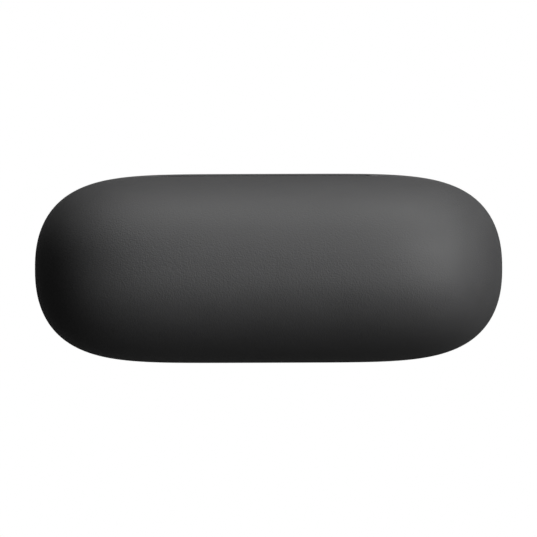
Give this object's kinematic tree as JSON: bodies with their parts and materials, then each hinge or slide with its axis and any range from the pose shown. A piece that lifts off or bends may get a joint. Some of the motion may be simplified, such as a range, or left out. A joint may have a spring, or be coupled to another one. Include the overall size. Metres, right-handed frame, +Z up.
{
  "type": "wireless earbuds case",
  "caption": "Upright pebble-shaped charging case for wireless earbuds, with a rear-hinged lid over two wells.",
  "frame": {"origin": "middle of the flat foot the case stands on", "axes": "+X along the case's width, -Y its front, +Y its hinge side, +Z up"},
  "size_m": [0.066, 0.0266, 0.05],
  "materials": {
    "shell_plastic": "fine-grained matte moulded plastic, dark charcoal",
    "cradle_plastic": "satin moulded plastic",
    "liner_plastic": "satin moulded plastic",
    "frame_plastic": "plain moulded plastic",
    "screw_steel": "turned screw",
    "cell_foil": "foil pouch",
    "foam": "closed-cell foam",
    "circuit_board": "solder mask",
    "tinned_steel": "tinned sheet",
    "socket_steel": "drawn sheet",
    "gasket_rubber": "matte rubber",
    "light_pipe": "clear moulding, frosted face",
    "lamp": "moulded lamp",
    "chip": "moulded chip",
    "flex_film": "amber film",
    "hinge_steel": "bead-blasted steel",
    "pin_steel": "ground pin",
    "spring_steel": "drawn wire",
    "magnet_nickel": "nickel plate",
    "contact_gold": "gold plate",
    "button_plastic": "matte moulded plastic"
  },
  "bodies": {
    "base": {"base_shell": "shell_plastic", "cradle": "cradle_plastic", "chassis": "frame_plastic", "chassis_screw_left": "screw_steel", "chassis_screw_right": "screw_steel", "battery_cell": "cell_foil", "battery_pad": "foam", "main_board": "circuit_board", "shield_can": "tinned_steel", "socket_shell": "socket_steel", "socket_tongue": "frame_plastic", "socket_gasket": "gasket_rubber", "button_board": "circuit_board", "push_switch": "tinned_steel", "light_pipe": "light_pipe", "status_lamp": "lamp", "sensor_board": "circuit_board", "lid_sensor": "chip", "sensor_flex": "flex_film", "hinge_base_leaf": "hinge_steel", "hinge_pin": "pin_steel", "hinge_spring": "spring_steel", "hinge_base_screw_left": "screw_steel", "hinge_base_screw_right": "screw_steel", "base_magnet_left": "magnet_nickel", "base_magnet_right": "magnet_nickel", "bud_magnet_left": "magnet_nickel", "bud_magnet_right": "magnet_nickel", "contact_block_left": "frame_plastic", "contact_block_right": "frame_plastic", "contact_board_left": "circuit_board", "contact_board_right": "circuit_board", "contact_barrel_left_inner": "contact_gold", "contact_barrel_left_outer": "contact_gold", "contact_barrel_right_inner": "contact_gold", "contact_barrel_right_outer": "contact_gold", "contact_spring_left_inner": "spring_steel", "contact_spring_left_outer": "spring_steel", "contact_spring_right_inner": "spring_steel", "contact_spring_right_outer": "spring_steel"},
    "lid": {"lid_shell": "shell_plastic", "lid_liner": "liner_plastic", "hinge_lid_leaf": "hinge_steel", "hinge_lid_screw_left": "screw_steel", "hinge_lid_screw_right": "screw_steel", "lid_magnet_left": "magnet_nickel", "lid_magnet_right": "magnet_nickel"},
    "button": {"pairing_button": "button_plastic", "switch_nub": "frame_plastic"},
    "plunger_left_inner": {"contact_plunger_left_inner": "contact_gold"},
    "plunger_left_outer": {"contact_plunger_left_outer": "contact_gold"},
    "plunger_right_inner": {"contact_plunger_right_inner": "contact_gold"},
    "plunger_right_outer": {"contact_plunger_right_outer": "contact_gold"}
  },
  "joints": [
    {"name": "lid_hinge", "type": "hinge", "parent": "base", "child": "lid", "pos_m": [0, 0.01166, 0.031], "axis": [-1, 0, 0], "range_deg": [0, 95]},
    {"name": "button_press", "type": "slide", "parent": "base", "child": "button", "axis": [0, -1, 0], "range_m": [0, 0.0004], "stiffness_N_per_m": 800, "springref_m": -0.0002},
    {"name": "plunger_press_left_inner", "type": "slide", "parent": "base", "child": "plunger_left_inner", "axis": [0, 0, -1], "range_m": [0, 0.0007], "stiffness_N_per_m": 250, "springref_m": -0.0004, "deforming": ["contact_spring_left_inner"]},
    {"name": "plunger_press_left_outer", "type": "slide", "parent": "base", "child": "plunger_left_outer", "axis": [0, 0, -1], "range_m": [0, 0.0007], "stiffness_N_per_m": 250, "springref_m": -0.0004, "deforming": ["contact_spring_left_outer"]},
    {"name": "plunger_press_right_inner", "type": "slide", "parent": "base", "child": "plunger_right_inner", "axis": [0, 0, -1], "range_m": [0, 0.0007], "stiffness_N_per_m": 250, "springref_m": -0.0004, "deforming": ["contact_spring_right_inner"]},
    {"name": "plunger_press_right_outer", "type": "slide", "parent": "base", "child": "plunger_right_outer", "axis": [0, 0, -1], "range_m": [0, 0.0007], "stiffness_N_per_m": 250, "springref_m": -0.0004, "deforming": ["contact_spring_right_outer"]}
  ]
}
